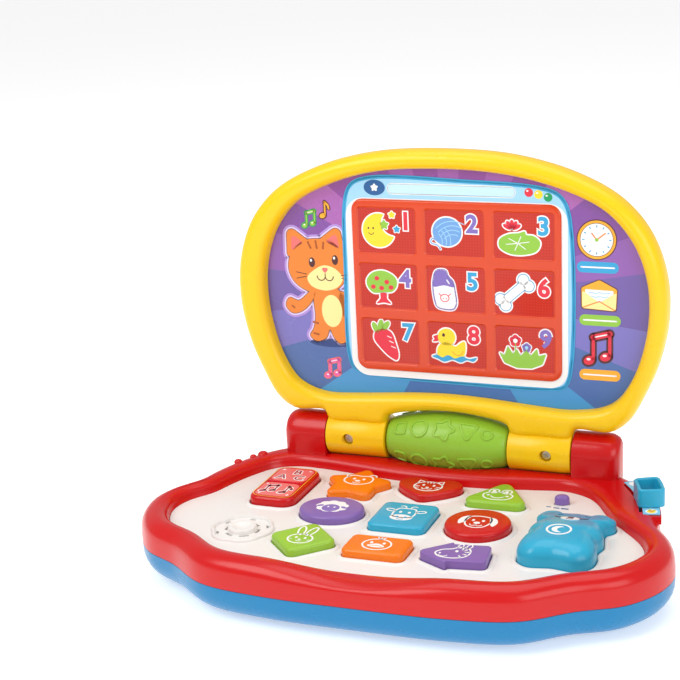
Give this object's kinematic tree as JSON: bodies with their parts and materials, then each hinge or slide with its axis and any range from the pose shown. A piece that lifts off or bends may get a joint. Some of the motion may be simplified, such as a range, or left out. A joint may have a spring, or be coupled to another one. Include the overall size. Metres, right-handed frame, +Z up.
{
  "type": "toy laptop computer",
  "caption": "Clamshell toy laptop with a carry handle, shaped press keys, an animal-shaped mouse key, a lid screen of lit picture cells and a spinning hinge roller.",
  "frame": {"origin": "on the surface it stands on, under the middle of the bounding box at rest with the lid open", "axes": "+X to the user's right, +Y away from the user towards the hinge and handle, +Z up"},
  "size_m": [0.308, 0.2358, 0.2261],
  "materials": {
    "red_plastic": "glossy moulded, pure red",
    "blue_plastic": "glossy moulded, bright blue",
    "yellow_plastic": "glossy moulded, warm yellow",
    "white_plastic": "satin moulded, off-white",
    "orange_plastic": "glossy moulded, orange",
    "green_plastic": "glossy moulded, leaf green",
    "purple_plastic": "glossy moulded, violet",
    "light_blue_plastic": "glossy moulded, sky blue",
    "printed_label": "printed plastic film on card",
    "lens_plastic": "tinted screen plastic, orange cells",
    "printed_strip": "printed sticker",
    "circuit_board": "green solder mask",
    "steel": "plain zinc-plated",
    "black_rubber": "matt",
    "silicone": "matt translucent silicone",
    "cell_jacket": "plain wrapped cell, no marking"
  },
  "bodies": {
    "base": {"bottom_shell": "blue_plastic", "top_casing": "red_plastic", "keyboard_plate": "white_plastic", "carry_handle": "blue_plastic", "battery_door": "blue_plastic", "battery_door_screw": "steel", "battery_1": "cell_jacket", "battery_2": "cell_jacket", "battery_contact_left": "steel", "battery_contact_right": "steel", "main_board": "circuit_board", "key_membrane": "silicone", "speaker": "black_rubber", "hinge_pin_left": "steel", "hinge_pin_right": "steel", "picture_strip": "printed_strip", "foot_1": "black_rubber", "foot_2": "black_rubber", "foot_3": "black_rubber", "foot_4": "black_rubber", "casing_screw_1": "steel", "casing_screw_2": "steel", "casing_screw_3": "steel", "casing_screw_4": "steel", "casing_screw_5": "steel", "casing_screw_6": "steel"},
    "lid": {"lid_back_shell": "yellow_plastic", "lid_bezel": "yellow_plastic", "lid_label": "printed_label", "screen_lens": "lens_plastic", "light_tray": "white_plastic", "lid_board": "circuit_board", "lid_badge": "printed_strip", "barrel_screw_left": "steel", "barrel_screw_right": "steel", "roller_axle": "steel"},
    "roller": {"roller": "green_plastic"},
    "mode_rocker": {"mode_rocker": "red_plastic"},
    "volume_slider": {"volume_slider": "purple_plastic"},
    "mouse_key": {"mouse_key": "light_blue_plastic"},
    "side_slider": {"side_slider": "light_blue_plastic"},
    "key_star": {"key_star": "orange_plastic"},
    "key_heart": {"key_heart": "red_plastic"},
    "key_triangle": {"key_triangle": "green_plastic"},
    "key_oval": {"key_oval": "purple_plastic"},
    "key_square": {"key_square": "light_blue_plastic"},
    "key_circle": {"key_circle": "red_plastic"},
    "key_diamond": {"key_diamond": "green_plastic"},
    "key_rectangle": {"key_rectangle": "orange_plastic"},
    "key_arrow": {"key_arrow": "purple_plastic"}
  },
  "joints": [
    {"name": "lid_hinge", "type": "hinge", "parent": "base", "child": "lid", "pos_m": [0, 0.0559, 0.0496], "axis": [1, 0, 0], "range_deg": [0, 91.2]},
    {"name": "roller_spin", "type": "hinge", "parent": "lid", "child": "roller", "pos_m": [0, 0.0559, 0.0496], "axis": [1, 0, 0], "continuous": true},
    {"name": "rocker_tilt", "type": "hinge", "parent": "base", "child": "mode_rocker", "pos_m": [-0.085, -0.0011, 0.027], "axis": [1, 0, 0], "range_deg": [-5, 5]},
    {"name": "volume_slide", "type": "slide", "parent": "base", "child": "volume_slider", "axis": [0.9781, 0.2079, 0], "range_m": [-0.0027, 0.0027]},
    {"name": "mouse_press", "type": "slide", "parent": "base", "child": "mouse_key", "axis": [0, 0, -1], "range_m": [0, 0.0025], "stiffness_N_per_m": 500, "springref_m": -0.0015},
    {"name": "side_slide", "type": "hinge", "parent": "base", "child": "side_slider", "pos_m": [0.02, -0.0241, 0.038], "axis": [0, 0, 1], "range_deg": [-4, 10.5]},
    {"name": "key_star_press", "type": "slide", "parent": "base", "child": "key_star", "axis": [0, 0, -1], "range_m": [0, 0.002], "stiffness_N_per_m": 400, "springref_m": -0.001},
    {"name": "key_heart_press", "type": "slide", "parent": "base", "child": "key_heart", "axis": [0, 0, -1], "range_m": [0, 0.002], "stiffness_N_per_m": 400, "springref_m": -0.001},
    {"name": "key_triangle_press", "type": "slide", "parent": "base", "child": "key_triangle", "axis": [0, 0, -1], "range_m": [0, 0.002], "stiffness_N_per_m": 400, "springref_m": -0.001},
    {"name": "key_oval_press", "type": "slide", "parent": "base", "child": "key_oval", "axis": [0, 0, -1], "range_m": [0, 0.002], "stiffness_N_per_m": 400, "springref_m": -0.001},
    {"name": "key_square_press", "type": "slide", "parent": "base", "child": "key_square", "axis": [0, 0, -1], "range_m": [0, 0.002], "stiffness_N_per_m": 400, "springref_m": -0.001},
    {"name": "key_circle_press", "type": "slide", "parent": "base", "child": "key_circle", "axis": [0, 0, -1], "range_m": [0, 0.002], "stiffness_N_per_m": 400, "springref_m": -0.001},
    {"name": "key_diamond_press", "type": "slide", "parent": "base", "child": "key_diamond", "axis": [0, 0, -1], "range_m": [0, 0.002], "stiffness_N_per_m": 400, "springref_m": -0.001},
    {"name": "key_rectangle_press", "type": "slide", "parent": "base", "child": "key_rectangle", "axis": [0, 0, -1], "range_m": [0, 0.002], "stiffness_N_per_m": 400, "springref_m": -0.001},
    {"name": "key_arrow_press", "type": "slide", "parent": "base", "child": "key_arrow", "axis": [0, 0, -1], "range_m": [0, 0.002], "stiffness_N_per_m": 400, "springref_m": -0.001}
  ]
}
